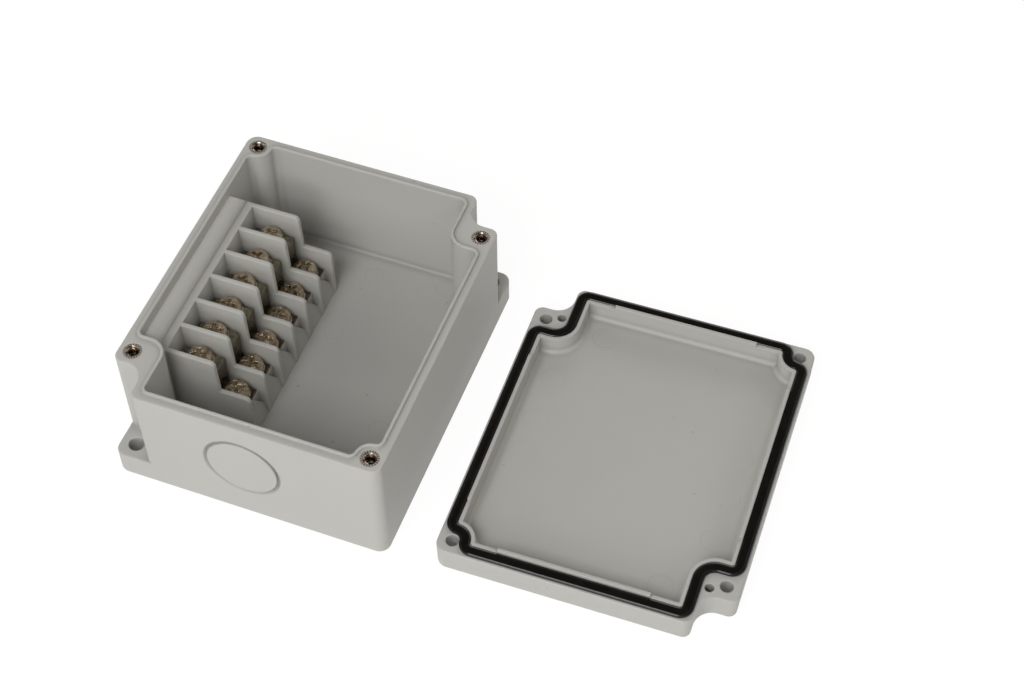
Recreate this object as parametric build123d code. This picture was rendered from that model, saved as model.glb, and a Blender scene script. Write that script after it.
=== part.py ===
from build123d import *
import os

# Box, seen with its mounting corners at the front left and the back right
width = 100.0
length = 120.0
rim_height = 48.0
wall = 3.8
floor = 4.0
corner_radius = 4.0
underside_radius = 0.8
rim_edge_radius = 0.5
floor_radius = 1.0

# Mounting corners: a notch in the walls leaves a lug with a hole
notch_across = 12.2
notch_along = 12.1
notch_edge_radius = 3.0
lug_height = 10.0
lug_hole_inset = 5.8
lug_hole = 5.5
lug_edge_radius = 0.5

# Tongue that stands on the rim and presses into the gasket
tongue_width = 1.2
tongue_height = 0.9
tongue_radius = 0.45

# Brass inserts for the lid screws and the posts that hold them
insert_inset = 5.0
insert_past_notch = 5.15
insert_outer = 6.3
insert_bore = 4.0
insert_length = 9.0
insert_fit = 0.02
insert_runout = 4.0
insert_runout_bore = 4.6
insert_chamfer = 0.35
post_wall = 3.5
post_behind_insert = 6.8
post_radius = 7.0
boss_radius = 5.4
inside_radius = 1.8

# Knock-out ring in the front and back walls, a groove with a sloping outer side
knockout = 28.0
knockout_groove = 1.4
knockout_groove_floor = 0.4
knockout_depth = 1.1
knockout_height = 26.0

# Terminal block along the left wall
poles = 6
pole_pitch = 11.43
barrier = 1.6
block_front = 26.0
shelf_height = 40.1
shelf_depth = 7.5
shelf_cove = 4.8
shelf_lip = 0.15
cove_runout = 0.75
barrier_upper_reach = 25.2
barrier_lower_reach = 36.6
barrier_step_height = 25.2
barrier_edge_radius = 2.0
block_reach = 33.9
foot_reach = 36.3
foot_ridge = 1.0
foot_shoulder = 9.2
riser_reach = 21.9
upper_seat = 28.9
lower_seat = 15.5
cell_lean = 0.4
upper_screw_reach = 15.9
lower_screw_reach = 27.9

# Terminal screws, washers, bars and nuts
bar_thickness = 1.0
bar_width = 8.6
bar_gap = 0.5
bar_end_gap = 0.6
washer_outer = 9.6
washer_thickness = 0.9
thread = 4.8
thread_clearance = 0.07
hole_clearance = 0.2
head_outer = 9.2
head_height = 3.8
head_radius = 2.4
screw_length = 8.0
recess_length = 5.4
recess_width = 1.2
recess_depth = 1.6
nut_size = 8.0
nut_thickness = 3.2
nut_fit = 0.05
screw_hole_below_nut = 4.0

# Lid, its gasket and its groove
lid_thickness = 10.5
lid_draft = 1.5
lid_face_radius = 0.8
lid_floor_radius = 1.5
lid_recess = 6.0
rib_wall = 1.35
rib_clearance = 0.85
rib_height = 1.05
rib_step = 1.05
rib_corner_gap = 20.6
rib_post_gap = 11.5
groove_outside = 2.65
groove_depth = 2.5
gasket_proud = 1.5
gasket_fit = 0.05
gasket_radius = 1.2
lid_hole = 4.5
lid_head_recess = 7.6
lid_head_depth = 5.4
pilot_hole = 3.2
pilot_inset = 10.25
pilot_below_edge = 2.9
pilot_depth = 6.0

# The lid lies on its outer face beside the box
lid_right = 114.66
lid_back = 3.2
lid_turn = 1.43

half_width = width / 2
half_length = length / 2
left = -half_width
front = -half_length
insert_along = notch_along + insert_past_notch
post_across = notch_across + post_wall
post_along = insert_along + post_behind_insert
block_left = left + wall
block_length = poles * pole_pitch + barrier
cell_width = pole_pitch - barrier
first_cell = front + block_front + (pole_pitch + barrier) / 2
bar_top_upper = upper_seat + bar_thickness
bar_top_lower = lower_seat + bar_thickness


def half_turn(shape):
    """Gives the shape and its copy half a turn round the middle of the box."""
    return [shape, Rot(0, 0, 180) * shape]


def round_corners(plan, points, radius):
    """Rounds the corners of a flat plan that lie nearest to the points."""
    corners = [plan.vertices().sort_by_distance(point)[0] for point in points]
    return fillet(corners, radius)


def both_ends(across, along):
    """Gives a point near the front left corner and its half-turn copy."""
    return [(left + across, front + along), (-left - across, -front - along)]


def ring(outer, inner):
    return outer - inner


def outer_plan():
    """Outline of the walls: a rectangle with two opposite corners notched."""
    plan = Rectangle(width, length)
    notch = Pos(left, front) * Rectangle(2 * notch_across, 2 * notch_along)
    for cut in half_turn(notch):
        plan -= cut
    plan = round_corners(plan, [(left, half_length), (half_width, front)], corner_radius)
    plan = round_corners(plan, both_ends(notch_across, 0), notch_edge_radius)
    plan = round_corners(plan, both_ends(0, notch_along), notch_edge_radius)
    notch_radius = notch_across - lug_hole_inset
    return round_corners(plan, both_ends(notch_across, notch_along), notch_radius)


def lug_plan():
    """Outline of the foot: the full rectangle, which makes the two lugs."""
    return RectangleRounded(width, length, corner_radius)


def cavity_plan():
    """Inside of the walls, with its posts and bosses round the inserts."""
    plan = Rectangle(width - 2 * wall, length - 2 * wall)
    post = Pos(left, front) * Rectangle(2 * post_across, 2 * post_along)
    for cut in half_turn(post):
        plan -= cut
    boss = Pos(left + insert_inset, half_length - insert_inset) * Circle(boss_radius)
    for cut in half_turn(boss):
        plan -= cut
    plan = round_corners(plan, both_ends(post_across, post_along), post_radius)
    plan = round_corners(plan, both_ends(post_across, wall), inside_radius)
    plan = round_corners(plan, both_ends(wall, post_along), inside_radius)
    boss_rise = wall - insert_inset
    boss_reach = insert_inset + (boss_radius**2 - boss_rise**2) ** 0.5
    plan = round_corners(plan, mirror_ends(wall, boss_reach), inside_radius)
    return round_corners(plan, mirror_ends(boss_reach, wall), inside_radius)


def mirror_ends(across, along):
    """Gives a point near the back left corner and its half-turn copy."""
    return [(left + across, half_length - along), (half_width - across, front + along)]


def cavity():
    """Space inside the walls, rounded where it meets the floor."""
    space = Pos(0, 0, floor) * extrude(cavity_plan(), rim_height)
    return fillet(space.edges().group_by(Axis.Z)[0], floor_radius)


def insert_places():
    """Places of the four lid screws, by the corner that each one is in."""
    return {
        "front_left": (left + insert_inset, front + insert_along),
        "back_left": (left + insert_inset, half_length - insert_inset),
        "front_right": (half_width - insert_inset, front + insert_inset),
        "back_right": (half_width - insert_inset, half_length - insert_along),
    }


def enclosure_base():
    """The moulded box with its rim, posts, lugs and knock-out rings."""
    foot = extrude(lug_plan(), lug_height)
    foot = fillet(foot.edges().group_by(Axis.Z)[-1], lug_edge_radius)
    walls = extrude(outer_plan(), rim_height)
    walls = fillet(walls.edges().group_by(Axis.Z)[-1], rim_edge_radius)
    shell = foot + walls
    shell = fillet(shell.edges().group_by(Axis.Z)[0], underside_radius)
    shell -= cavity()
    tongue = extrude(ring(inside_offset(tongue_width), cavity_plan()), tongue_height)
    tongue = fillet(tongue.edges().group_by(Axis.Z)[-1], tongue_radius)
    shell += Pos(0, 0, rim_height) * tongue
    lug_at = Pos(left + lug_hole_inset, front + lug_hole_inset, lug_height / 2)
    for hole in half_turn(lug_at * Cylinder(lug_hole / 2, lug_height)):
        shell -= hole
    for groove in half_turn(knockout_ring()):
        shell -= groove
    for across, along in insert_places().values():
        shell -= Pos(across, along, rim_height) * insert_pocket()
    return shell


def knockout_ring():
    """Groove round the disc in the front wall that is knocked out for a cable."""
    above = (Align.CENTER, Align.CENTER, Align.MIN)
    disc = knockout / 2 - knockout_groove
    slope = Cone(knockout / 2, disc + knockout_groove_floor, knockout_depth, align=above)
    groove = slope - Cylinder(disc, knockout_depth, align=above)
    return Pos(0, front, knockout_height) * Rot(-90, 0, 0) * groove


def insert_pocket():
    """Hole that holds one insert, with room below it for the screw's end."""
    below = (Align.CENTER, Align.CENTER, Align.MAX)
    seat = Cylinder(insert_outer / 2 + insert_fit, insert_length, align=below)
    runout = Cylinder(insert_runout_bore / 2, insert_length + insert_runout, align=below)
    return seat + runout


def lid_insert():
    """Threaded insert, flush with the rim."""
    below = (Align.CENTER, Align.CENTER, Align.MAX)
    body = Cylinder(insert_outer / 2, insert_length, align=below)
    body -= Cylinder(insert_bore / 2, insert_length, align=below)
    mouth = body.edges().group_by(Axis.Z)[-1].sort_by(SortBy.RADIUS)[0]
    return chamfer(mouth, insert_chamfer)


def shelf_profile():
    """Left edge of the block: up the wall, round the cove and onto the shelf."""
    wall_top = shelf_height + shelf_cove
    lip = Line((0, wall_top), (shelf_lip, wall_top))
    cove_end = (shelf_lip + shelf_cove, shelf_height)
    cove = RadiusArc(lip @ 1, cove_end, shelf_cove)
    back = Line((0, floor), (0, wall_top))
    return back, lip, cove


def seat_profile():
    """Section through a cell: shelf, upper seat, riser and lower seat."""
    back, lip, cove = shelf_profile()
    steps = Polyline(
        cove @ 1,
        (shelf_depth, shelf_height),
        (shelf_depth + cell_lean, upper_seat),
        (riser_reach, upper_seat),
        (riser_reach, lower_seat),
        (block_reach, lower_seat),
        (foot_reach, floor),
        back @ 0,
    )
    return make_face(Wire([back, lip, cove, *steps.edges()]))


def shelf_end_profile():
    """Section through the shelf where it runs on past the first barrier."""
    back, lip, cove = shelf_profile()
    steps = Polyline(cove @ 1, (shelf_depth, shelf_height), (shelf_depth, floor), back @ 0)
    return make_face(Wire([back, lip, cove, *steps.edges()]))


def barrier_profile():
    """Side view of a barrier: two levels, each with a rounded corner."""
    back, lip, cove = shelf_profile()
    steps = Polyline(
        cove @ 1,
        (barrier_upper_reach, shelf_height),
        (barrier_upper_reach + cell_lean, barrier_step_height),
        (barrier_lower_reach, barrier_step_height),
        (barrier_lower_reach, floor),
        back @ 0,
    )
    plan = make_face(Wire([back, lip, cove, *steps.edges()]))
    tops = [(barrier_upper_reach, shelf_height), (barrier_lower_reach, barrier_step_height)]
    return round_corners(plan, tops, barrier_edge_radius)


def along_block(profile, start, depth):
    """Stands a side view on the block's left end and draws it backwards."""
    upright = Plane(origin=(block_left, start, 0), x_dir=(1, 0, 0), z_dir=(0, -1, 0))
    return extrude(upright * profile, -depth)


def foot_bevels(along):
    """Waste each side of the ridge in a cell's foot, beyond the end of its bar."""
    start = block_left + block_reach - bar_end_gap / 2
    side = Plane(origin=(start, along, 0), x_dir=(0, 1, 0), z_dir=(1, 0, 0))
    corners = [(foot_ridge / 2, lower_seat), (cell_width / 2, lower_seat), (cell_width / 2, foot_shoulder)]
    bevel = Polyline(corners, close=True)
    plans = [make_face(bevel), mirror(make_face(bevel), Plane.YZ)]
    return [extrude(side * plan, barrier_lower_reach - block_reach) for plan in plans]


def cove_end():
    """Waste where the cove slopes down to the back end of the shelf."""
    end = front + block_front + block_length
    rise = shelf_cove + shelf_lip
    corners = [(end, shelf_height), (end, shelf_height + rise), (end - cove_runout * rise, shelf_height + rise)]
    side = Plane(origin=(block_left, 0, 0), x_dir=(0, 1, 0), z_dir=(1, 0, 0))
    return extrude(side * make_face(Polyline(corners, close=True)), shelf_depth)


def screw_places():
    """Places of the twelve terminal screws, from the front cell to the back."""
    places = {}
    for pole in range(poles):
        along = first_cell + pole * pole_pitch
        number = pole + 1
        places["upper", number] = (block_left + upper_screw_reach, along, bar_top_upper)
        places["lower", number] = (block_left + lower_screw_reach, along, bar_top_lower)
    return places


def terminal_block():
    """Stepped block with a barrier each side of every cell."""
    start = front + block_front
    block = along_block(seat_profile(), start, block_length)
    for number in range(poles + 1):
        block += along_block(barrier_profile(), start + number * pole_pitch, barrier)
    for pole in range(poles):
        for bevel in foot_bevels(first_cell + pole * pole_pitch):
            block -= bevel
    block += along_block(shelf_end_profile(), front + post_along, block_front - post_along)
    block -= cove_end()
    block &= cavity()
    pocket = nut_size + 2 * nut_fit
    below = (Align.CENTER, Align.CENTER, Align.MAX)
    for across, along, bar_top in screw_places().values():
        seat = Pos(across, along, bar_top - bar_thickness)
        block -= seat * Box(pocket, pocket, nut_thickness, align=below)
        depth = nut_thickness + screw_hole_below_nut
        block -= seat * Cylinder(thread / 2 + 2 * hole_clearance, depth, align=below)
    return block


def connector_bar(along):
    """Stepped strip that joins the two screws of one cell."""
    start = shelf_depth + cell_lean + bar_gap
    end = block_reach - bar_end_gap
    outline = Polyline(
        (start, upper_seat),
        (start, bar_top_upper),
        (riser_reach + bar_thickness, bar_top_upper),
        (riser_reach + bar_thickness, bar_top_lower),
        (end, bar_top_lower),
        (end, lower_seat),
        (riser_reach, lower_seat),
        (riser_reach, upper_seat),
        close=True,
    )
    bar = along_block(make_face(outline), along - bar_width / 2, bar_width)
    for reach in (upper_screw_reach, lower_screw_reach):
        bar -= Pos(block_left + reach, along, 0) * Cylinder(thread / 2 + hole_clearance, 2 * rim_height)
    return bar


def terminal_nut():
    """Square nut under the bar, with its top at the origin."""
    below = (Align.CENTER, Align.CENTER, Align.MAX)
    body = Box(nut_size, nut_size, nut_thickness, align=below)
    return body - Cylinder(thread / 2 + thread_clearance, nut_thickness, align=below)


def washer():
    """Flat washer, with its underside at the origin."""
    above = (Align.CENTER, Align.CENTER, Align.MIN)
    body = Cylinder(washer_outer / 2, washer_thickness, align=above)
    return body - Cylinder(thread / 2 + hole_clearance, washer_thickness, align=above)


def terminal_screw():
    """Pan-head screw with a crossed recess, its head's underside at the origin."""
    above = (Align.CENTER, Align.CENTER, Align.MIN)
    below = (Align.CENTER, Align.CENTER, Align.MAX)
    head = Cylinder(head_outer / 2, head_height, align=above)
    screw = fillet(head.edges().group_by(Axis.Z)[-1], head_radius)
    screw += Cylinder(thread / 2, screw_length, align=below)
    recess = Box(recess_length, recess_width, recess_depth, align=below)
    for turn in (0, 90):
        screw -= Pos(0, 0, head_height) * Rot(0, 0, turn) * recess
    return screw


def inside_offset(distance):
    """Cavity outline moved outwards, or inwards where the distance is negative."""
    return offset(cavity_plan(), distance)


def on_table(closed):
    """Turns a closed lid piece over and lays it beside the box."""
    beside = Pos(lid_right, lid_back, lid_thickness) * Rot(0, 0, lid_turn)
    return beside * Rot(0, 180, 0) * closed


def rib():
    """Wall inside the gasket, taller along the middle of each side."""
    outline = ring(inside_offset(-rib_clearance), inside_offset(-rib_clearance - rib_wall))
    low = extrude(outline, -rib_height)
    high = extrude(outline, -rib_height - rib_step)
    across = (left + post_across + rib_post_gap, half_width - rib_corner_gap)
    along = (front + post_along + rib_post_gap, half_length - rib_corner_gap)
    front_span = Box(across[1] - across[0], 4 * wall, 2 * rib_height + 2 * rib_step)
    side_span = Box(4 * wall, along[1] - along[0], 2 * rib_height + 2 * rib_step)
    for span in half_turn(Pos(sum(across) / 2, front) * front_span):
        low += high & span
    for span in half_turn(Pos(left, sum(along) / 2) * side_span):
        low += high & span
    return low


def lid():
    """Lid with its rim at the origin's height and its outer face above."""
    plate = extrude(outer_plan(), lid_thickness, taper=lid_draft)
    plate = fillet(plate.edges().group_by(Axis.Z)[-1], lid_face_radius)
    plate = fillet(plate.edges().group_by(Axis.Z)[0], rim_edge_radius)
    recess = extrude(inside_offset(-rib_clearance - rib_wall), lid_recess)
    plate -= fillet(recess.edges().group_by(Axis.Z)[-1], lid_floor_radius)
    plate += rib()
    plate -= extrude(ring(inside_offset(groove_outside), inside_offset(-rib_clearance)), groove_depth)
    above = (Align.CENTER, Align.CENTER, Align.MIN)
    head_start = lid_thickness - lid_head_depth
    for across, along in insert_places().values():
        plate -= Pos(across, along) * Cylinder(lid_hole / 2, lid_thickness, align=above)
        head = Cylinder(lid_head_recess / 2, lid_head_depth, align=above)
        plate -= Pos(across, along, head_start) * head
    pilot = Cylinder(pilot_hole / 2, pilot_depth, align=above)
    pilot_at = Pos(left + pilot_inset, front + notch_along + pilot_below_edge)
    for hole in half_turn(pilot_at * pilot):
        plate -= hole
    return plate


def lid_gasket():
    """Rubber ring that fills the lid's groove and stands proud of its rim."""
    outer = inside_offset(groove_outside - gasket_fit)
    inner = inside_offset(gasket_fit - rib_clearance)
    body = Pos(0, 0, -gasket_proud) * extrude(ring(outer, inner), groove_depth + gasket_proud)
    return fillet(body.edges().group_by(Axis.Z)[0], gasket_radius)


def build():
    """Makes every piece of the enclosure, by the name of its file."""
    pieces = {"enclosure_base": enclosure_base(), "terminal_block": terminal_block()}
    for name, (across, along) in insert_places().items():
        pieces["insert_" + name] = Pos(across, along, rim_height) * lid_insert()
    for pole in range(poles):
        pieces[f"connector_bar_{pole + 1}"] = connector_bar(first_cell + pole * pole_pitch)
    nuts = {"upper": [], "lower": []}
    for (row, number), (across, along, bar_top) in screw_places().items():
        nuts[row].append(Pos(across, along, bar_top - bar_thickness) * terminal_nut())
        pieces[f"washer_{row}_{number}"] = Pos(across, along, bar_top) * washer()
        head_at = Pos(across, along, bar_top + washer_thickness)
        pieces[f"screw_{row}_{number}"] = head_at * terminal_screw()
    for row, solids in nuts.items():
        pieces[f"terminal_nuts_{row}"] = Compound(solids)
    pieces["lid"] = on_table(lid())
    pieces["lid_gasket"] = on_table(lid_gasket())
    return pieces


os.makedirs("parts", exist_ok=True)
for name, piece in build().items():
    export_step(piece, f"parts/{name}.step")
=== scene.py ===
import math

import bmesh
import bpy
from mathutils import Euler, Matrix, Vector


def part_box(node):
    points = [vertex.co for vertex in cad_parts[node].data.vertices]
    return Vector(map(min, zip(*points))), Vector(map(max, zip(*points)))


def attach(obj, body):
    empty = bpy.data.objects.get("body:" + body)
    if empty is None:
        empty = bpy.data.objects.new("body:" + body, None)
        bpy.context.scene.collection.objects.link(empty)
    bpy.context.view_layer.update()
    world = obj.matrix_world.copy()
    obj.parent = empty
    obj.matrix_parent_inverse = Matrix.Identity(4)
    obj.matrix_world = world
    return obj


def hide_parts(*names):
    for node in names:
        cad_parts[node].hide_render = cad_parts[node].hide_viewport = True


# Terminal screws, in metres
HEAD_RADIUS = 0.0046
HEAD_HEIGHT = 0.0038
HEAD_RADII = [(0.0, 0.0), (0.20, 1.0), (0.35, 1.0), (0.45, 0.985), (0.55, 0.93)]
HEAD_RADII += [(0.65, 0.83), (0.75, 0.67), (0.85, 0.46), (1.0, 0.0)]
HEAD_LEVELS = [(0.0, 0.0), (0.20, 0.0), (0.35, 0.32), (0.45, 0.50), (0.55, 0.67)]
HEAD_LEVELS += [(0.65, 0.81), (0.75, 0.92), (0.85, 0.98), (1.0, 1.0)]
SHANK_LENGTH = 0.0080
SHANK_CORE = 0.0020
THREAD_HEIGHT = 0.0003
THREAD_PITCH = 0.0008
THREAD_FOOT = -0.95
THREADED_SHARE = 0.9
SLOT_LENGTH = 0.0072
SLOT_WIDTH = 0.0013
SLOT_DEPTH = 0.0012
CROSS_LENGTH = 0.0054
CROSS_WIDTH = 0.0015
CROSS_DEPTH = 0.0018
FIRST_TURN = 0.5
NEXT_TURN = 1.3

# The bars that cut a head's recess: kind, turn, and a small lift that keeps their faces apart
RECESS_TURN = 0.03
RECESS_BARS = [("Slot", RECESS_TURN, 0.0), ("Cross", RECESS_TURN, 0.00003)]
RECESS_BARS += [("Cross", RECESS_TURN + math.pi / 2, 0.00006)]

# Brass inserts in the lid posts
INSERT_RADIUS = 0.00315
INSERT_BORE = 0.0020
INSERT_LENGTH = 0.0090
INSERT_CHAMFER = 0.00035
INSERT_THREAD = 0.0003
INSERT_PITCH = 0.0007
INSERT_THREAD_FOOT = -0.96
KNURLS = 20.0
KNURL_START = 0.0023

# Gasket bead, measured from the outer edge of its groove
GASKET_WIDTH = 0.0034
GASKET_OVERHANG = 0.00045
GASKET_IN_GROOVE = 0.0025
GASKET_PROUD = 0.0015
GASKET_WOBBLE = 0.00006
GASKET_WAVES = 260.0
GASKET_WAIST = 0.0005
BEAD_STEPS = 24
BEAD_ROUNDNESS = 0.82
BEAD_POINTS = 800

# How finely round shapes are divided, round them and along them
STEPS_ROUND = 65
STEPS_ALONG = 41
SAME_POINT = 1e-6

# Faint circles that the moulds' ejector pins left
LID_PINS = [(0.0790, -0.0082), (0.0786, 0.0070), (0.0783, 0.0255), (0.0898, 0.0486)]
LID_PINS += [(0.1504, 0.0146), (0.1508, -0.0020), (0.1511, -0.0195), (0.1396, -0.0422)]
LID_PIN_RADIUS = 0.0043
LID_FLOOR = 0.0045
BOX_PINS = [(-0.0029, 0.0181), (0.0005, 0.0471), (0.0276, 0.0506)]
BOX_PINS += [(-0.0029, -0.0240), (0.0290, -0.0160)]
BOX_PIN_RADIUS = 0.0034
BOX_FLOOR = 0.0040
PIN_LINE = 0.00020
PIN_LEVEL = 0.0004

# Moulded plastic
PLASTIC = (0.515, 0.508, 0.485)
PLASTIC_DARKER = (0.475, 0.468, 0.445)
# Pale grey: worn spots, grain and scuffs, and painted highlights along edges
PLASTIC_WORN_AND_HIGHLIT = (0.62, 0.615, 0.595)
# Dark grey: dust specks, and painted shade in corners
GREY_DIRT_AND_SHADE = (0.22, 0.21, 0.185)
PLASTIC_EDGE = 0.0008
# How far the painted shade in corners reaches
CORNER_SHADE_REACH = 0.0040
GRAIN_DEPTH = 0.00005

# Plated metals, each as bright, dull and stained
SCREW_PLATING = ((0.66, 0.57, 0.44), (0.34, 0.24, 0.14), (0.10, 0.05, 0.02))
WASHER_PLATING = ((0.82, 0.76, 0.66), (0.40, 0.33, 0.24), (0.10, 0.06, 0.03))
BAR_PLATING = ((0.30, 0.28, 0.21), (0.20, 0.18, 0.13), (0.09, 0.07, 0.04))
NUT_PLATING = ((0.40, 0.38, 0.34), (0.28, 0.26, 0.22), (0.14, 0.10, 0.06))
# Dark brown: painted shade with some grime in screw recesses, and painted shade at the bars' far ends
SHADE_AND_GRIME = (0.050, 0.030, 0.015)
METAL_EDGE = 0.0003
# How much lighter the painted highlights along metal edges are
EDGE_HIGHLIGHT = 1.45
RECESS_REACH = 0.0020
DENT_DEPTH = 0.00080
# Where the painted shade at the bars' far ends starts, and how it fades in
BAR_SHADED_END = 0.004
BAR_SHADE_FADE = 0.002

# Insert brass: bore, bore where dull, knurled rim, and the painted shade in the gaps between its teeth
BORE_BRASS = (0.46, 0.40, 0.34)
BORE_DULL = (0.24, 0.19, 0.15)
RIM_BRASS = (0.46, 0.42, 0.38)
KNURL_GAP_SHADE = (0.08, 0.04, 0.02)
KNURL_DEPTH = 0.00006

# Gasket rubber
RUBBER = (0.0036, 0.0031, 0.0026)
RUBBER_BLOOM = (0.0070, 0.0060, 0.0050)
RUBBER_DUST = (0.25, 0.24, 0.22)
RIPPLE_DEPTH = 0.00005

# Surroundings
WHITE = (1.0, 1.0, 1.0)
CEILING = (0.100, 0.082, 0.064)
CEILING_FADE = (0.22, 0.50)
RIGHT_STRIP = (0.30, 0.43)
FRONT_STRIP = (-0.76, -0.65)
STRIP_FADE = 0.03
SIDE_LIGHT = (1.0, 0.98, 0.92)
SIDE_LIGHT_LEVEL = 0.82
SIDE_LIGHT_RISE = (0.10, 0.35)
SIDE_LIGHT_FALL = (0.60, 0.80)
RAYS_THAT_SEE = ("Is Camera Ray", "Is Glossy Ray", "Is Transmission Ray")
FLOOR_GREY = (0.86, 0.86, 0.86)
FLOOR_GLOW = 1.06
FLOOR_SEEN_WHITE = 0.88
FLOOR_REACH = 3.0
FLOOR_LEVEL = -0.0001
LAMP_SIZE = 0.6
LAMP_AIM = (0.05, 0.0, 0.02)
LAMPS = {
    "front_high": ((0.0, -0.86, 1.10), 8.3),
    "front_low": ((0.0, -1.30, 0.52), 3.3),
    "back_low": ((0.0, 1.30, 0.52), 2.5),
}

# The photograph's viewpoint
LENS = 68.70
SENSOR = 36.0
CAMERA_PLACE = (0.20972, -0.36364, 0.55975)
CAMERA_TURN = (37.547, 0.200, 20.422)


class Value:
    """A number in a material. Arithmetic on it adds Math nodes."""

    def __init__(self, finish, socket):
        self.finish = finish
        self.socket = socket

    def math(self, operation, first, second=0.0):
        node = self.finish.node("ShaderNodeMath", {"operation": operation}, {0: first, 1: second})
        return Value(self.finish, node.outputs[0])

    def __add__(self, other):
        return self.math("ADD", self, other)

    def __sub__(self, other):
        return self.math("SUBTRACT", self, other)

    def __rsub__(self, other):
        return self.math("SUBTRACT", other, self)

    def __mul__(self, other):
        return self.math("MULTIPLY", self, other)

    def __abs__(self):
        return self.math("ABSOLUTE", self)

    __radd__ = __add__
    __rmul__ = __mul__

    def sine(self):
        return self.math("SINE", self)

    def larger(self, other):
        return self.math("MAXIMUM", self, other)

    def between(self, low, high):
        """Rises smoothly from 0 at low to 1 at high."""
        settings = {"interpolation_type": "SMOOTHSTEP", "clamp": True}
        node = self.finish.node("ShaderNodeMapRange", settings, {0: self, 1: low, 2: high, 3: 0.0, 4: 1.0})
        return Value(self.finish, node.outputs[0])

    def band(self, low, high, fade):
        """1 between low and high, with a smooth fade inside each end."""
        return self.between(low, low + fade) * (1.0 - self.between(high - fade, high))


class Nodes:
    """A shader tree being put together, for a material or the world."""

    def __init__(self, tree):
        self.tree = tree

    def node(self, kind, settings=None, inputs=None):
        """Adds a node: its settings first, then its sockets' values and links."""
        node = self.tree.nodes.new(kind)
        for key, value in (settings or {}).items():
            setattr(node, key, value)
        for key, value in (inputs or {}).items():
            self.feed(node.inputs[key], value)
        return node

    def feed(self, socket, value):
        value = getattr(value, "socket", value)
        if isinstance(value, bpy.types.NodeSocket):
            self.tree.links.new(value, socket)
        elif isinstance(value, tuple) and socket.type == "RGBA":
            socket.default_value = (*value[:3], 1.0)
        else:
            socket.default_value = value

    def seen_directly(self):
        """1 for what the camera, reflections and glass see, 0 for light that falls on dull surfaces."""
        path = self.node("ShaderNodeLightPath")
        camera, glossy, through = (Value(self, path.outputs[name]) for name in RAYS_THAT_SEE)
        return camera.larger(glossy).larger(through)

    def mixed(self, factor, first, second):
        """The output of a Mix Shader."""
        return self.node("ShaderNodeMixShader", {}, {0: factor, 1: first, 2: second}).outputs[0]


class Finish(Nodes):
    """One surface finish, built round a Principled shader."""

    def __init__(self, name, **constants):
        self.material = bpy.data.materials.new(name)
        self.material.use_nodes = True
        super().__init__(self.material.node_tree)
        self.shader = self.tree.nodes["Principled BSDF"]
        for socket, value in constants.items():
            self.shader.inputs[socket.replace("_", " ")].default_value = value
        self.place = self.node("ShaderNodeTexCoord").outputs["Object"]
        self.soft = None

    def set(self, socket, value):
        self.feed(self.shader.inputs[socket], value)

    def stretched(self, stretch, turn=(0, 0, 0)):
        """Object coordinates, turned and scaled, for a pattern with a direction."""
        inputs = {"Vector": self.place, "Rotation": turn, "Scale": stretch}
        return self.node("ShaderNodeMapping", {"vector_type": "TEXTURE"}, inputs).outputs[0]

    def noise(self, scale, detail=3.0, roughness=0.55, vector=None):
        inputs = {"Vector": vector or self.place, "Scale": scale, "Detail": detail, "Roughness": roughness}
        return Value(self, self.node("ShaderNodeTexNoise", {}, inputs).outputs[0])

    def axis(self, letter):
        """How far along X, Y or Z the surface is, in metres."""
        node = self.node("ShaderNodeSeparateXYZ", {}, {0: self.place})
        return Value(self, node.outputs[letter])

    def attribute(self, name):
        return Value(self, self.node("ShaderNodeAttribute", {"attribute_name": name}).outputs["Fac"])

    def blend(self, factor, first, second):
        """A colour between two colours."""
        node = self.node("ShaderNodeMix", {"data_type": "RGBA"}, {0: factor, 6: first, 7: second})
        return node.outputs[2]

    def edges(self, radius):
        """1 along sharp edges, 0 on flat faces. Keeps the softened normal for the bump to start from."""
        self.soft = self.node("ShaderNodeBevel", {"samples": 6}, {"Radius": radius}).outputs[0]
        plain = self.node("ShaderNodeNewGeometry").outputs["Normal"]
        both = self.node("ShaderNodeVectorMath", {"operation": "DOT_PRODUCT"}, {0: self.soft, 1: plain})
        return (1.0 - Value(self, both.outputs["Value"])).between(0.01, 0.16)

    def hollows(self, reach):
        """1 deep in corners and recesses, 0 on open faces."""
        settings = {"samples": 6, "only_local": True}
        node = self.node("ShaderNodeAmbientOcclusion", settings, {"Distance": reach})
        return 1.0 - Value(self, node.outputs["AO"])

    def away_from(self, centre):
        """Level distance from a point, in metres."""
        level = self.node("ShaderNodeVectorMath", {"operation": "MULTIPLY"}, {0: self.place, 1: (1, 1, 0)})
        spot = (centre[0], centre[1], 0.0)
        gap = self.node("ShaderNodeVectorMath", {"operation": "DISTANCE"}, {0: level.outputs[0], 1: spot})
        return Value(self, gap.outputs["Value"])

    def bump(self, height, distance, strength=1.0):
        inputs = {"Height": height, "Distance": distance, "Strength": strength}
        if self.soft:
            inputs["Normal"] = self.soft
        self.set("Normal", self.node("ShaderNodeBump", {}, inputs).outputs[0])


def ring_marks(finish, centres, radius, line):
    """Thin circles, such as ejector pins leave, round each of the centres."""
    marks = None
    for centre in centres:
        mark = 1.0 - abs(finish.away_from(centre) - radius).between(0.0, line)
        marks = mark if marks is None else marks.larger(mark)
    return marks


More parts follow.
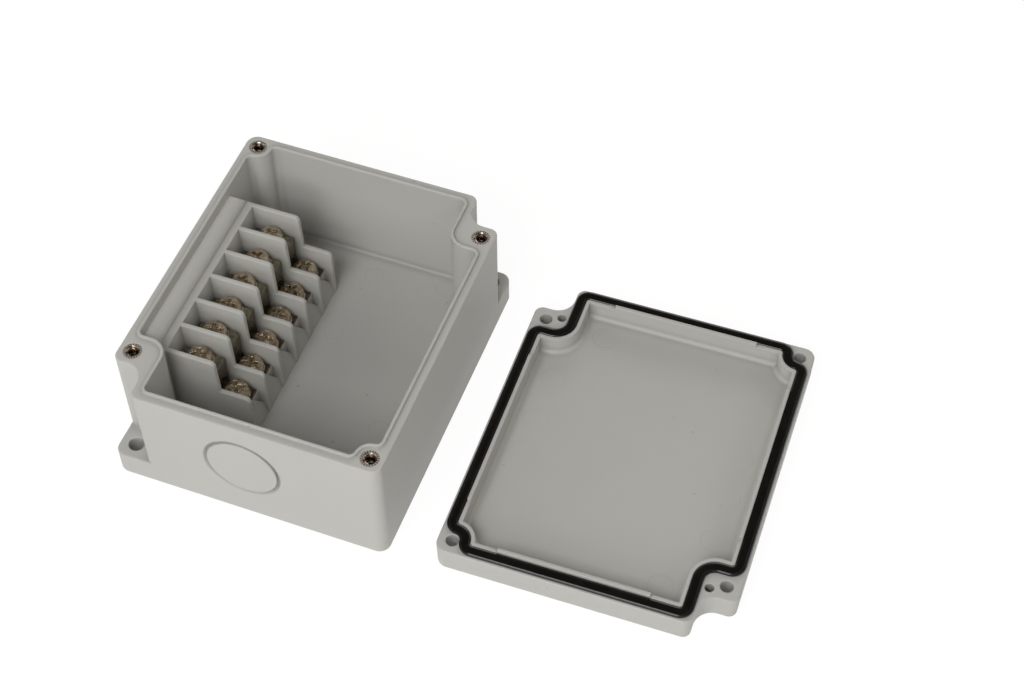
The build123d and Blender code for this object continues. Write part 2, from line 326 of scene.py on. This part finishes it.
def moulded_plastic(name, pin_marks=(), pin_radius=0.0, floor=0.0):
    """Grey moulded plastic: grain, flow marks, paler edges that are painted highlight and partly wear,
    painted shade in corners, pin marks on its floor.
    """
    finish = Finish(name, IOR=1.46)
    flow = finish.noise(16.0, 4.0, 0.6, finish.stretched((1.0, 1.0, 1.6), (0.2, 0.1, 0.5)))
    cloud = finish.noise(95.0, 3.0)
    grain = finish.noise(4200.0, 2.0)
    scuffs = finish.noise(240.0, 5.0, 0.7, finish.stretched((6.0, 1.0, 1.0), (0.1, 0.4, 0.9)))
    scuffed = scuffs.between(0.66, 0.80)
    edge = finish.edges(PLASTIC_EDGE)
    colour = finish.blend(flow * 0.7 + cloud * 0.3, PLASTIC_DARKER, PLASTIC)
    colour = finish.blend(grain.between(0.25, 0.75) * 0.10, colour, PLASTIC_WORN_AND_HIGHLIT)
    # Painted highlight along edges, partly wear
    colour = finish.blend(edge * 0.60 * cloud.between(0.25, 0.55), colour, PLASTIC_WORN_AND_HIGHLIT)
    colour = finish.blend(scuffed * 0.20, colour, PLASTIC_WORN_AND_HIGHLIT)
    # Painted shade in corners: darker where the surface is hemmed in
    colour = finish.blend(finish.hollows(CORNER_SHADE_REACH).between(0.04, 0.34) * 0.36, colour, GREY_DIRT_AND_SHADE)
    specks = finish.noise(620.0, 0.0).between(0.86, 0.89)
    colour = finish.blend(specks * 0.45, colour, GREY_DIRT_AND_SHADE)
    height = grain * 0.7 + cloud * 0.3
    if pin_marks:
        rings = ring_marks(finish, pin_marks, pin_radius, PIN_LINE) * cloud.between(0.30, 0.60)
        rings = rings * finish.axis("Z").band(floor - PIN_LEVEL, floor + PIN_LEVEL, 0.75 * PIN_LEVEL)
        colour = finish.blend(rings * 0.30, colour, tuple(0.75 * part for part in PLASTIC_DARKER))
        height = height - rings * 3.0
    finish.set("Base Color", colour)
    finish.set("Roughness", 0.40 + grain * 0.10 + cloud * 0.08 - scuffed * 0.06 + edge * 0.05)
    finish.bump(height, GRAIN_DEPTH, 0.5)
    return finish.material


def gasket_rubber(name):
    """Black rubber bead: smooth skin, with a faint bloom of dust and slight ripples."""
    finish = Finish(name, IOR=1.50, Specular_IOR_Level=0.40)
    bloom = finish.noise(140.0, 5.0, 0.65)
    ripple = finish.noise(420.0, 2.0, 0.5)
    dust = finish.noise(3000.0, 1.0).between(0.70, 0.80)
    colour = finish.blend(bloom.between(0.35, 0.75), RUBBER, RUBBER_BLOOM)
    colour = finish.blend(dust * 0.03, colour, RUBBER_DUST)
    finish.set("Base Color", colour)
    finish.set("Roughness", 0.12 + bloom * 0.14 + dust * 0.2)
    finish.bump(ripple + dust * 0.3, RIPPLE_DEPTH, 0.6)
    return finish.material


def plated_metal(name, colours, rough, grain_stretch=None, recess_grime_and_shade_reach=0.0, shaded_from=None):
    """Plated brass with rolling or turning lines, dents, dull patches and brown stains; painted shade with
    some grime in hollows; painted shade towards a far end; painted highlights along edges.
    """
    bright, dull, stain = colours
    finish = Finish(name, Metallic=1.0)
    patch = finish.noise(600.0, 4.0, 0.6)
    tarnish = finish.noise(260.0, 5.0, 0.65)
    if grain_stretch is None:
        lines = (finish.attribute("radius") * 90000.0 + patch * 2.0).sine() * 0.5 + 0.5
    else:
        lines = finish.noise(5000.0, 2.0, 0.5, finish.stretched(grain_stretch))
    edge = finish.edges(METAL_EDGE)
    dents = finish.noise(700.0, 2.5, 0.6)
    stained = tarnish.between(0.50, 0.72)
    colour = finish.blend(patch.between(0.40, 0.75), bright, dull)
    colour = finish.blend(stained * 0.75, colour, stain)
    # Painted shade, with some grime, deep in recesses
    if recess_grime_and_shade_reach:
        colour = finish.blend(finish.hollows(recess_grime_and_shade_reach).between(0.10, 0.65) * 0.85, colour, SHADE_AND_GRIME)
    # Painted shade at the bar's far end
    if shaded_from:
        shaded_end = finish.axis("X").between(shaded_from, shaded_from + BAR_SHADE_FADE)
        colour = finish.blend(shaded_end * 0.8, colour, SHADE_AND_GRIME)
    # Painted highlight along edges
    colour = finish.blend(edge * 0.85, colour, tuple(min(1.0, EDGE_HIGHLIGHT * part) for part in bright))
    finish.set("Base Color", colour)
    finish.set("Roughness", rough + patch * 0.06 + stained * 0.08 + edge * 0.10)
    finish.bump(lines * 0.01 + dents, DENT_DEPTH, 0.8)
    return finish.material


def knurled_brass(name):
    """Bright bore with a dull rim round it, where knurling shows as pale teeth with painted brown shade in
    the gaps between them.
    """
    finish = Finish(name)
    patch = finish.noise(700.0, 4.0, 0.6)
    reach = finish.attribute("radius")
    teeth = (finish.attribute("angle") * KNURLS + patch * 1.6).sine() * 0.5 + 0.5
    outside = reach.between(KNURL_START, KNURL_START + 0.0003)
    colour = finish.blend(patch.between(0.30, 0.70), BORE_BRASS, BORE_DULL)
    colour = finish.blend(outside * 0.9, colour, RIM_BRASS)
    # Painted shade in the gaps between the knurl teeth
    colour = finish.blend(outside * teeth.between(0.40, 0.70) * 0.9, colour, KNURL_GAP_SHADE)
    finish.set("Base Color", colour)
    finish.set("Metallic", 1.0 - outside * 0.8)
    finish.set("Roughness", 0.12 + outside * 0.35 + patch * 0.10)
    finish.bump(teeth * outside + patch * 0.4, KNURL_DEPTH, 0.7)
    return finish.material


class Shape:
    """A Geometry Nodes tree with named inputs."""

    def __init__(self, name, sizes):
        self.tree = bpy.data.node_groups.new(name, "GeometryNodeTree")
        self.tree.interface.new_socket("Geometry", in_out="INPUT", socket_type="NodeSocketGeometry")
        self.tree.interface.new_socket("Geometry", in_out="OUTPUT", socket_type="NodeSocketGeometry")
        for label, value in sizes.items():
            kind = "NodeSocketInt" if isinstance(value, int) else "NodeSocketFloat"
            socket = self.tree.interface.new_socket(label, in_out="INPUT", socket_type=kind)
            socket.default_value = value
        self.inputs = self.tree.nodes.new("NodeGroupInput").outputs
        self.result = self.tree.nodes.new("NodeGroupOutput")

    def node(self, kind, settings=None, inputs=None, output=0):
        """Adds a node and gives its output, so that calls can be nested."""
        node = self.tree.nodes.new(kind)
        for key, value in (settings or {}).items():
            setattr(node, key, value)
        for key, value in (inputs or {}).items():
            for part in value if isinstance(value, list) else [value]:
                if isinstance(part, bpy.types.NodeSocket):
                    self.tree.links.new(part, node.inputs[key])
                else:
                    node.inputs[key].default_value = part
        return node.outputs[output]

    def math(self, operation, first, second=0.0):
        return self.node("ShaderNodeMath", {"operation": operation}, {0: first, 1: second})

    def vector_math(self, operation, first, second):
        """Vector Math on two vectors."""
        return self.node("ShaderNodeVectorMath", {"operation": operation}, {0: first, 1: second})

    def vector(self, x=0.0, y=0.0, z=0.0):
        return self.node("ShaderNodeCombineXYZ", {}, {0: x, 1: y, 2: z})

    def moved(self, geometry, offset=(0, 0, 0), turn=(0, 0, 0)):
        inputs = {"Geometry": geometry, "Translation": offset, "Rotation": turn}
        return self.node("GeometryNodeTransform", {}, inputs)

    def merged(self, geometry):
        return self.node("GeometryNodeMergeByDistance", {}, {"Geometry": geometry, "Distance": SAME_POINT})

    def curve(self, value, stops):
        """Value passed through a curve with these stops, joined by straight runs."""
        result = self.node("ShaderNodeFloatCurve", {}, {"Value": value})
        points = result.node.mapping.curves[0].points
        for place, height in stops[1:-1]:
            points.new(place, height)
        for point, (place, height) in zip(points, stops):
            point.location = (place, height)
            point.handle_type = "VECTOR"
        result.node.mapping.update()
        return result

    def turned(self, radius, height, radii, heights):
        """A closed solid of revolution whose outline is given by two curves."""
        sizes = {"Size X": 1.0, "Size Y": 1.0, "Vertices X": STEPS_ROUND, "Vertices Y": STEPS_ALONG}
        sheet = self.node("GeometryNodeMeshGrid", {}, sizes)
        place = self.node("GeometryNodeInputPosition")
        across = self.node("ShaderNodeSeparateXYZ", {}, {0: place}, "X")
        down = self.node("ShaderNodeSeparateXYZ", {}, {0: place}, "Y")
        angle = self.math("MULTIPLY", self.math("ADD", across, 0.5), 2 * math.pi)
        step = self.math("ADD", down, 0.5)
        reach = self.math("MULTIPLY", self.curve(step, radii), radius)
        level = self.math("MULTIPLY", self.curve(step, heights), height)
        x = self.math("MULTIPLY", reach, self.math("COSINE", angle))
        y = self.math("MULTIPLY", reach, self.math("SINE", angle))
        inputs = {"Geometry": sheet, "Position": self.vector(x, y, level)}
        return self.merged(self.node("GeometryNodeSetPosition", {}, inputs))

    def thread(self, radius, depth, length, pitch):
        """A helical ridge of three sides, whose middle is at the radius."""
        sizes = {"Resolution": 24, "Start Radius": radius, "End Radius": radius, "Height": length}
        sizes["Rotations"] = self.math("DIVIDE", length, pitch)
        helix = self.node("GeometryNodeCurveSpiral", {}, sizes)
        profile = self.node("GeometryNodeCurvePrimitiveCircle", {}, {"Resolution": 3, "Radius": depth})
        inputs = {"Curve": helix, "Profile Curve": profile, "Fill Caps": True}
        return self.node("GeometryNodeCurveToMesh", {}, inputs)

    def joined(self, *parts):
        return self.node("GeometryNodeJoinGeometry", {}, {0: list(parts)})

    def kept(self, geometry, name, value):
        """Stores a number on each point, for the material to read."""
        settings = {"data_type": "FLOAT", "domain": "POINT"}
        inputs = {"Geometry": geometry, "Name": name, "Value": value}
        return self.node("GeometryNodeStoreNamedAttribute", settings, inputs)

    def at_places(self, geometry):
        """The shape at each given point, with each vertex's distance from the axis and angle round it."""
        place = self.node("GeometryNodeInputPosition")
        level = self.vector_math("MULTIPLY", place, (1, 1, 0))
        reach = self.node("ShaderNodeVectorMath", {"operation": "LENGTH"}, {0: level}, "Value")
        parts = self.node("ShaderNodeSeparateXYZ", {}, {0: place}).node
        angle = self.math("ARCTAN2", parts.outputs["Y"], parts.outputs["X"])
        geometry = self.kept(self.kept(geometry, "radius", reach), "angle", angle)
        points = self.inputs["Geometry"]
        return self.node("GeometryNodeInstanceOnPoints", {}, {"Points": points, "Instance": geometry})

    def finished(self, geometry, material, smooth=False):
        solid = self.node("GeometryNodeRealizeInstances", {}, {0: geometry})
        shaded = self.node("GeometryNodeSetShadeSmooth", {}, {0: solid, 2: smooth})
        coated = self.node("GeometryNodeSetMaterial", {}, {"Geometry": shaded, "Material": material})
        self.tree.links.new(coated, self.result.inputs[0])

    def make(self, name, places, joined=(), **sizes):
        """A plain mesh object, with the shape at the places or along the line that joins them."""
        seed = bpy.data.meshes.new(name + "_places")
        seed.from_pydata([tuple(place) for place in places], joined, [])
        carrier = bpy.data.objects.new(name + "_carrier", seed)
        bpy.context.scene.collection.objects.link(carrier)
        modifier = carrier.modifiers.new(name, "NODES")
        modifier.node_group = self.tree
        for item in self.tree.interface.items_tree:
            if item.in_out == "INPUT" and item.name in sizes:
                modifier[item.identifier] = sizes[item.name]
        bpy.context.view_layer.update()
        ready = carrier.evaluated_get(bpy.context.evaluated_depsgraph_get())
        mesh = bpy.data.meshes.new_from_object(ready)
        mesh.name = name
        piece = bpy.data.objects.new(name, mesh)
        bpy.context.scene.collection.objects.link(piece)
        bpy.data.objects.remove(carrier)
        return piece


def screw_shape(material):
    """Domed terminal screw, with a slot through a crossed recess and a cut thread."""
    sizes = {
        "Head Radius": HEAD_RADIUS,
        "Head Height": HEAD_HEIGHT,
        "Core Radius": SHANK_CORE,
        "Shank Length": SHANK_LENGTH,
        "Thread Pitch": THREAD_PITCH,
        "Slot Length": SLOT_LENGTH,
        "Slot Width": SLOT_WIDTH,
        "Slot Depth": SLOT_DEPTH,
        "Cross Length": CROSS_LENGTH,
        "Cross Width": CROSS_WIDTH,
        "Cross Depth": CROSS_DEPTH,
        "Turn": 0.0,
    }
    shape = Shape("terminal_screw", sizes)
    given = shape.inputs
    head = shape.turned(given["Head Radius"], given["Head Height"], HEAD_RADII, HEAD_LEVELS)
    cuts = []
    for kind, turn, lift in RECESS_BARS:
        size = shape.vector(given[kind + " Length"], given[kind + " Width"], given[kind + " Depth"])
        bar = shape.node("GeometryNodeMeshCube", {}, {"Size": size})
        middle = shape.math("ADD", given["Head Height"], lift)
        cuts.append(shape.moved(bar, shape.vector(z=middle), (0, 0, turn)))
    settings = {"operation": "DIFFERENCE", "solver": "EXACT"}
    head = shape.node("GeometryNodeMeshBoolean", settings, {"Mesh 1": head, "Mesh 2": cuts})
    shank = {"Vertices": 32, "Radius": given["Core Radius"], "Depth": given["Shank Length"]}
    core = shape.node("GeometryNodeMeshCylinder", {}, shank)
    core = shape.moved(core, shape.vector(z=shape.math("MULTIPLY", given["Shank Length"], -0.5)))
    threaded = shape.math("MULTIPLY", given["Shank Length"], THREADED_SHARE)
    ridge = shape.thread(given["Core Radius"], THREAD_HEIGHT, threaded, given["Thread Pitch"])
    ridge = shape.moved(ridge, shape.vector(z=shape.math("MULTIPLY", given["Shank Length"], THREAD_FOOT)))
    screw = shape.moved(shape.joined(head, core, ridge), (0, 0, 0), shape.vector(z=given["Turn"]))
    shape.finished(shape.at_places(screw), material)
    return shape


def insert_shape(material):
    """Threaded brass sleeve with a chamfered mouth, its top at the place given."""
    sizes = {
        "Outer Radius": INSERT_RADIUS,
        "Length": INSERT_LENGTH,
        "Thread Radius": INSERT_BORE,
        "Thread Depth": INSERT_THREAD,
        "Thread Pitch": INSERT_PITCH,
    }
    shape = Shape("lid_insert", sizes)
    given = shape.inputs
    bore = INSERT_BORE / INSERT_RADIUS
    mouth = (INSERT_BORE + INSERT_CHAMFER) / INSERT_RADIUS
    dip = INSERT_CHAMFER / INSERT_LENGTH
    radii = [(0.0, bore), (0.2, 1.0), (0.5, 1.0), (0.55, 0.985), (0.7, mouth), (0.8, bore), (1.0, bore)]
    heights = [(0.0, 0.0), (0.2, 0.0), (0.5, 0.985), (0.55, 1.0), (0.7, 1.0), (0.8, 1.0 - dip), (1.0, 0.0)]
    sleeve = shape.turned(given["Outer Radius"], given["Length"], radii, heights)
    sleeve = shape.moved(sleeve, shape.vector(z=shape.math("MULTIPLY", given["Length"], -1.0)))
    threaded = shape.math("MULTIPLY", given["Length"], THREADED_SHARE)
    ridge = shape.thread(given["Thread Radius"], given["Thread Depth"], threaded, given["Thread Pitch"])
    ridge = shape.moved(ridge, shape.vector(z=shape.math("MULTIPLY", given["Length"], INSERT_THREAD_FOOT)))
    shape.finished(shape.at_places(shape.joined(sleeve, ridge)), material)
    return shape


def bead_outline():
    """The gasket's section, as how far outwards and how high, each from 0 to 1."""
    across = GASKET_WIDTH + GASKET_OVERHANG
    up = GASKET_IN_GROOVE + GASKET_PROUD
    rim = GASKET_IN_GROOVE / up
    lip = GASKET_WIDTH / across
    waist = rim + GASKET_WAIST / up
    section = [(0.0, 0.0), (lip, 0.0), (lip, rim), (lip + (1.0 - lip) * 0.75, rim + 0.02)]
    for step in range(BEAD_STEPS + 1):
        angle = math.pi * step / BEAD_STEPS
        aside = math.copysign(abs(math.cos(angle)) ** BEAD_ROUNDNESS, math.cos(angle))
        height = math.sin(angle) ** BEAD_ROUNDNESS
        section.append((0.5 + 0.5 * aside, waist + (1.0 - waist) * height))
    section += [(0.0, rim), (0.0, 0.0)]
    last = len(section) - 1
    reaches = [(number / last, reach) for number, (reach, height) in enumerate(section)]
    heights = [(number / last, height) for number, (reach, height) in enumerate(section)]
    return reaches, heights


def gasket_shape(material):
    """Rubber bead that fills the groove and bulges over its outer edge."""
    sizes = {
        "Width": GASKET_WIDTH,
        "Overhang": GASKET_OVERHANG,
        "Height": GASKET_IN_GROOVE + GASKET_PROUD,
        "Wobble": GASKET_WOBBLE,
        "Points Along": BEAD_POINTS,
    }
    shape = Shape("gasket_bead", sizes)
    given = shape.inputs
    line = shape.node("GeometryNodeMeshToCurve", {}, {0: given["Geometry"]})
    path = shape.node("GeometryNodeResampleCurve", {}, {"Curve": line, "Count": given["Points Along"]})
    reaches, heights = bead_outline()
    grid = {"Size X": 1.0, "Size Y": 1.0, "Vertices X": given["Points Along"]}
    grid["Vertices Y"] = 2 * len(reaches) - 1
    sheet = shape.node("GeometryNodeMeshGrid", {}, grid)
    place = shape.node("GeometryNodeInputPosition")
    along = shape.math("ADD", shape.node("ShaderNodeSeparateXYZ", {}, {0: place}, "X"), 0.5)
    around = shape.math("ADD", shape.node("ShaderNodeSeparateXYZ", {}, {0: place}, "Y"), 0.5)
    sampled = {"Curves": path, "Factor": along}
    spot = shape.node("GeometryNodeSampleCurve", {"mode": "FACTOR"}, sampled, "Position")
    outward = shape.vector_math("CROSS_PRODUCT", spot.node.outputs["Tangent"], (0, 0, 1))
    full = shape.math("ADD", given["Width"], given["Overhang"])
    reach = shape.math("MULTIPLY", shape.curve(around, reaches), full)
    reach = shape.math("SUBTRACT", reach, given["Width"])
    rise = shape.curve(around, heights)
    waves = shape.node("ShaderNodeTexNoise", {}, {"Vector": spot, "Scale": GASKET_WAVES})
    waves = shape.math("MULTIPLY", shape.math("SUBTRACT", waves, 0.5), given["Wobble"])
    level = shape.math("MULTIPLY", rise, given["Height"])
    level = shape.math("ADD", level, shape.math("MULTIPLY", waves, rise))
    aside = shape.node("ShaderNodeVectorMath", {"operation": "SCALE"}, {0: outward, "Scale": reach})
    lifted = shape.vector_math("ADD", shape.vector_math("ADD", spot, aside), shape.vector(z=level))
    solid = shape.merged(shape.node("GeometryNodeSetPosition", {}, {"Geometry": sheet, "Position": lifted}))
    shape.finished(solid, material, smooth=True)
    return shape


def foot_line(node):
    """The outer edge of a ring's lowest face, anticlockwise, from the middle of its longest run."""
    work = bmesh.new()
    work.from_mesh(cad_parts[node].data)
    bmesh.ops.remove_doubles(work, verts=work.verts, dist=SAME_POINT)
    foot = min(point.co.z for point in work.verts) + 10 * SAME_POINT
    flat = {face for face in work.faces if all(point.co.z < foot for point in face.verts)}
    links = {}
    for edge in work.edges:
        if len(flat.intersection(edge.link_faces)) == 1:
            first, second = edge.verts
            links.setdefault(first.index, []).append(second.index)
            links.setdefault(second.index, []).append(first.index)
    spots = {point.index: point.co.copy() for point in work.verts}
    work.free()
    start = max(links, key=lambda index: spots[index].x)
    loop = [start, links[start][0]]
    while loop[-1] != start:
        loop.append(next(index for index in links[loop[-1]] if index != loop[-2]))
    line = [spots[index] for index in loop[:-1]]
    turn = sum(a.x * b.y - b.x * a.y for a, b in zip(line, line[1:] + line[:1]))
    if turn < 0:
        line.reverse()
    longest = max(range(len(line)), key=lambda index: (line[index] - line[index - 1]).length)
    middle = (line[longest] + line[longest - 1]) / 2
    return [middle] + line[longest:] + line[:longest]


def middle_top(node):
    """The middle of a CAD node's top."""
    low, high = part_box(node)
    return Vector(((low.x + high.x) / 2, (low.y + high.y) / 2, high.z))


def dress(nodes, material):
    """Gives the CAD nodes their finish."""
    for name in nodes:
        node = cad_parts[name]
        if not node.material_slots:
            node.data.materials.append(material)
        for slot in node.material_slots:
            slot.material = material


def pale_surface(name, colour, strength, share):
    """A floor that the camera and reflections see as the photograph's white, with a faint shadow."""
    material = bpy.data.materials.new(name)
    material.use_nodes = True
    material.node_tree.nodes.clear()
    nodes = Nodes(material.node_tree)
    plain = nodes.node("ShaderNodeBsdfDiffuse", {}, {"Color": colour}).outputs[0]
    glow = nodes.node("ShaderNodeEmission", {}, {"Strength": strength}).outputs[0]
    both = nodes.mixed(nodes.seen_directly() * share, plain, glow)
    nodes.node("ShaderNodeOutputMaterial", {}, {"Surface": both})
    return material


def make_floor():
    """A plain pale floor under the box and its lid."""
    far = FLOOR_REACH
    corners = [(-far, -far), (far, -far), (far, far), (-far, far)]
    mesh = bpy.data.meshes.new("floor")
    mesh.from_pydata([(x, y, FLOOR_LEVEL) for x, y in corners], [], [(0, 1, 2, 3)])
    mesh.materials.append(pale_surface("white_floor", FLOOR_GREY, FLOOR_GLOW, FLOOR_SEEN_WHITE))
    floor = bpy.data.objects.new("floor", mesh)
    bpy.context.scene.collection.objects.link(floor)


def make_world():
    """A white backdrop, a darker ceiling with two bright strips, and even light from the sides."""
    world = bpy.data.worlds.new("studio")
    world.use_nodes = True
    world.node_tree.nodes.clear()
    nodes = Nodes(world.node_tree)
    direction = nodes.node("ShaderNodeTexCoord").outputs["Generated"]
    parts = nodes.node("ShaderNodeSeparateXYZ", {}, {0: direction}).outputs
    across, back, height = (Value(nodes, parts[letter]) for letter in "XYZ")
    strips = across.band(*RIGHT_STRIP, STRIP_FADE).larger(back.band(*FRONT_STRIP, STRIP_FADE))
    ceiling = height.between(*CEILING_FADE) * (1.0 - strips)
    path = nodes.node("ShaderNodeLightPath")
    above = ceiling * (1.0 - Value(nodes, path.outputs["Is Camera Ray"]))
    backdrop = nodes.node("ShaderNodeMix", {"data_type": "RGBA"}, {0: above, 6: WHITE, 7: CEILING}).outputs[2]
    seen = nodes.node("ShaderNodeBackground", {}, {"Color": backdrop}).outputs[0]
    sides = height.between(*SIDE_LIGHT_RISE) * (1.0 - height.between(*SIDE_LIGHT_FALL)) * SIDE_LIGHT_LEVEL
    lit = nodes.node("ShaderNodeBackground", {}, {"Color": SIDE_LIGHT, "Strength": sides}).outputs[0]
    both = nodes.mixed(nodes.seen_directly(), lit, seen)
    nodes.node("ShaderNodeOutputWorld", {}, {"Surface": both})
    bpy.context.scene.world = world


def softbox(name, place, watts):
    """A square area lamp, pointed at the object."""
    lamp = bpy.data.lights.new(name, "AREA")
    lamp.shape = "SQUARE"
    lamp.size = LAMP_SIZE
    lamp.energy = watts
    holder = bpy.data.objects.new(name, lamp)
    holder.location = place
    holder.rotation_euler = (Vector(LAMP_AIM) - Vector(place)).to_track_quat("-Z", "Y").to_euler()
    bpy.context.scene.collection.objects.link(holder)


def make_camera():
    """A camera at the photograph's viewpoint."""
    camera = bpy.data.cameras.new("camera")
    camera.sensor_width = SENSOR
    camera.lens = LENS
    camera.clip_start = 0.01
    holder = bpy.data.objects.new("camera", camera)
    holder.location = CAMERA_PLACE
    holder.rotation_euler = Euler([math.radians(turn) for turn in CAMERA_TURN], "XYZ")
    bpy.context.scene.collection.objects.link(holder)
    bpy.context.scene.camera = holder


def named(start):
    """The CAD nodes whose names start so, in order."""
    return sorted(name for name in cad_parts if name.startswith(start))


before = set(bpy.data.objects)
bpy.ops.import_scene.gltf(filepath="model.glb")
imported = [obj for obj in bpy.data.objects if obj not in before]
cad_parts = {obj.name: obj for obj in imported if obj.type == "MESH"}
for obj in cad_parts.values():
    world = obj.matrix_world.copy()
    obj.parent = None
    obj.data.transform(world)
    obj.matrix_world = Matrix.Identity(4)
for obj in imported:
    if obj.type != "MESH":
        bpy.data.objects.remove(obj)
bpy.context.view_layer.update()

bar_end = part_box("connector_bar_1")[1].x
box_plastic = moulded_plastic("box_plastic", BOX_PINS, BOX_PIN_RADIUS, BOX_FLOOR)
block_plastic = moulded_plastic("block_plastic")
lid_plastic = moulded_plastic("lid_plastic", LID_PINS, LID_PIN_RADIUS, LID_FLOOR)
rubber = gasket_rubber("gasket_rubber")
screw_metal = plated_metal("screw_plating", SCREW_PLATING, 0.03, recess_grime_and_shade_reach=RECESS_REACH)
insert_metal = knurled_brass("insert_brass")
washer_metal = plated_metal("washer_plating", WASHER_PLATING, 0.05, (1.0, 1.0, 4.0))
bar_metal = plated_metal("bar_plating", BAR_PLATING, 0.14, (8.0, 1.0, 1.0), shaded_from=bar_end - BAR_SHADED_END)
nut_metal = plated_metal("nut_plating", NUT_PLATING, 0.26, (4.0, 4.0, 1.0))

dress(["enclosure_base"], box_plastic)
dress(["terminal_block"], block_plastic)
dress(["lid"], lid_plastic)
dress(["lid_gasket"], rubber)
dress(named("insert_"), insert_metal)
dress(named("screw_"), screw_metal)
dress(named("washer_"), washer_metal)
dress(named("connector_bar_"), bar_metal)
dress(named("terminal_nuts_"), nut_metal)

inserts = named("insert_")
sleeves = insert_shape(insert_metal).make("lid_inserts", [middle_top(name) for name in inserts])
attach(sleeves, "box")
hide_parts(*inserts)

edge_line = foot_line("lid_gasket")
links = [(number, (number + 1) % len(edge_line)) for number in range(len(edge_line))]
bead = gasket_shape(rubber).make("gasket_bead", edge_line, links)
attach(bead, "lid")
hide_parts("lid_gasket")

screw = screw_shape(screw_metal)
for number, name in enumerate(named("screw_")):
    seat = middle_top(name) - Vector((0, 0, HEAD_HEIGHT))
    piece_name = name.replace("screw", "terminal_screw")
    piece = screw.make(piece_name, [seat], Turn=FIRST_TURN + NEXT_TURN * number)
    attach(piece, name)
    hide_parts(name)

make_floor()
make_world()
for name, (place, watts) in LAMPS.items():
    softbox(name, place, watts)
make_camera()
bpy.context.scene.view_settings.view_transform = "Standard"
